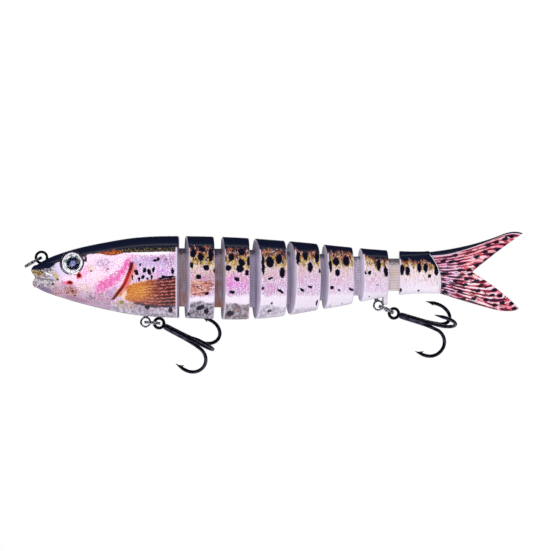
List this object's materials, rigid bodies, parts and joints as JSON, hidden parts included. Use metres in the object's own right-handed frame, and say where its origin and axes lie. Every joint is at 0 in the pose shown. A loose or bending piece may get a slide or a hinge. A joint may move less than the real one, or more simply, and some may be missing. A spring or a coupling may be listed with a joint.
{
  "type": "jointed fishing lure",
  "caption": "Jointed trout-pattern swimbait: hard segments on a fabric strip, soft forked tail, line tie ring and treble hooks on split rings",
  "frame": {"origin": "centre of the line tie eye on the forehead", "axes": "+X runs from the nose to the tail, +Z to the back (dorsal side), +Y to the far flank; the body is stored in a gentle curve"},
  "size_m": [0.1391, 0.0322, 0.0396],
  "materials": {
    "painted_shell": "glossy clear coat over a printed trout pattern on pearl",
    "eye_print": "silver foil print with a dark pupil",
    "eye_lens": "clear domed plastic",
    "steel_wire": "bright stainless wire",
    "hook_wire": "black nickel plate",
    "web_fabric": "fine ribbed woven nylon, dusted with paint",
    "soft_fin": "soft translucent print with rays and dark spots",
    "ballast": "plain cast weight"
  },
  "bodies": {
    "head": {"head_left_shell": "painted_shell", "head_right_shell": "painted_shell", "left_eye_disc": "eye_print", "right_eye_disc": "eye_print", "left_eye_lens": "eye_lens", "right_eye_lens": "eye_lens", "line_tie": "steel_wire", "head_ballast": "ballast", "front_hook_hanger": "steel_wire", "hinge_web_1": "web_fabric"},
    "segment_2": {"segment_2_left_shell": "painted_shell", "segment_2_right_shell": "painted_shell", "hinge_web_2": "web_fabric"},
    "segment_3": {"segment_3_left_shell": "painted_shell", "segment_3_right_shell": "painted_shell", "hinge_web_3": "web_fabric"},
    "segment_4": {"segment_4_left_shell": "painted_shell", "segment_4_right_shell": "painted_shell", "hinge_web_4": "web_fabric"},
    "segment_5": {"segment_5_left_shell": "painted_shell", "segment_5_right_shell": "painted_shell", "hinge_web_5": "web_fabric"},
    "segment_6": {"segment_6_left_shell": "painted_shell", "segment_6_right_shell": "painted_shell", "hinge_web_6": "web_fabric"},
    "segment_7": {"segment_7_left_shell": "painted_shell", "segment_7_right_shell": "painted_shell", "rear_hook_hanger": "steel_wire", "hinge_web_7": "web_fabric"},
    "tail": {"tail_left_shell": "painted_shell", "tail_right_shell": "painted_shell", "tail_fin": "soft_fin"},
    "nose_ring": {"nose_split_ring": "steel_wire"},
    "front_ring": {"front_split_ring": "steel_wire"},
    "front_hook": {"front_treble_hook": "hook_wire"},
    "rear_ring": {"rear_split_ring": "steel_wire"},
    "rear_hook": {"rear_treble_hook": "hook_wire"}
  },
  "joints": [
    {"name": "body_hinge_1", "type": "hinge", "parent": "head", "child": "segment_2", "pos_m": [0.03923, 0, -0.00543], "axis": [0, 0, 1], "range_deg": [-28, 12], "deforming": ["hinge_web_1"]},
    {"name": "body_hinge_2", "type": "hinge", "parent": "segment_2", "child": "segment_3", "pos_m": [0.049, 0.00137, -0.00543], "axis": [0, 0, 1], "range_deg": [-23, 25], "deforming": ["hinge_web_2"]},
    {"name": "body_hinge_3", "type": "hinge", "parent": "segment_3", "child": "segment_4", "pos_m": [0.05856, 0.00255, -0.00543], "axis": [0, 0, 1], "range_deg": [-27, 13], "deforming": ["hinge_web_3"]},
    {"name": "body_hinge_4", "type": "hinge", "parent": "segment_4", "child": "segment_5", "pos_m": [0.06828, 0.00497, -0.00543], "axis": [0, 0, 1], "range_deg": [-24, 16], "deforming": ["hinge_web_4"]},
    {"name": "body_hinge_5", "type": "hinge", "parent": "segment_5", "child": "segment_6", "pos_m": [0.07756, 0.00799, -0.00543], "axis": [0, 0, 1], "range_deg": [-21, 31], "deforming": ["hinge_web_5"]},
    {"name": "body_hinge_6", "type": "hinge", "parent": "segment_6", "child": "segment_7", "pos_m": [0.08754, 0.01029, -0.00543], "axis": [0, 0, 1], "range_deg": [-30, 30], "deforming": ["hinge_web_6"]},
    {"name": "body_hinge_7", "type": "hinge", "parent": "segment_7", "child": "tail", "pos_m": [0.09792, 0.01269, -0.00543], "axis": [0, 0, 1], "range_deg": [-29, 51], "deforming": ["hinge_web_7"]},
    {"name": "nose_ring_swing", "type": "hinge", "parent": "head", "child": "nose_ring", "pos_m": [0, 0, 0], "axis": [0, 1, 0], "range_deg": [0, 150]},
    {"name": "front_ring_swing", "type": "hinge", "parent": "head", "child": "front_ring", "pos_m": [0.029, 0, -0.01798], "axis": [0, 1, 0], "range_deg": [0, 60]},
    {"name": "front_hook_swing", "type": "hinge", "parent": "front_ring", "child": "front_hook", "pos_m": [0.03275, 0, -0.01831], "axis": [0, 1, 0], "range_deg": [0, 50]},
    {"name": "rear_ring_swing", "type": "hinge", "parent": "segment_7", "child": "rear_ring", "pos_m": [0.09388, 0.01175, -0.01338], "axis": [-0.225, 0.9744, 0], "range_deg": [0, 70]},
    {"name": "rear_hook_swing", "type": "hinge", "parent": "rear_ring", "child": "rear_hook", "pos_m": [0.09824, 0.01276, -0.01561], "axis": [-0.225, 0.9744, 0], "range_deg": [0, 50]}
  ]
}
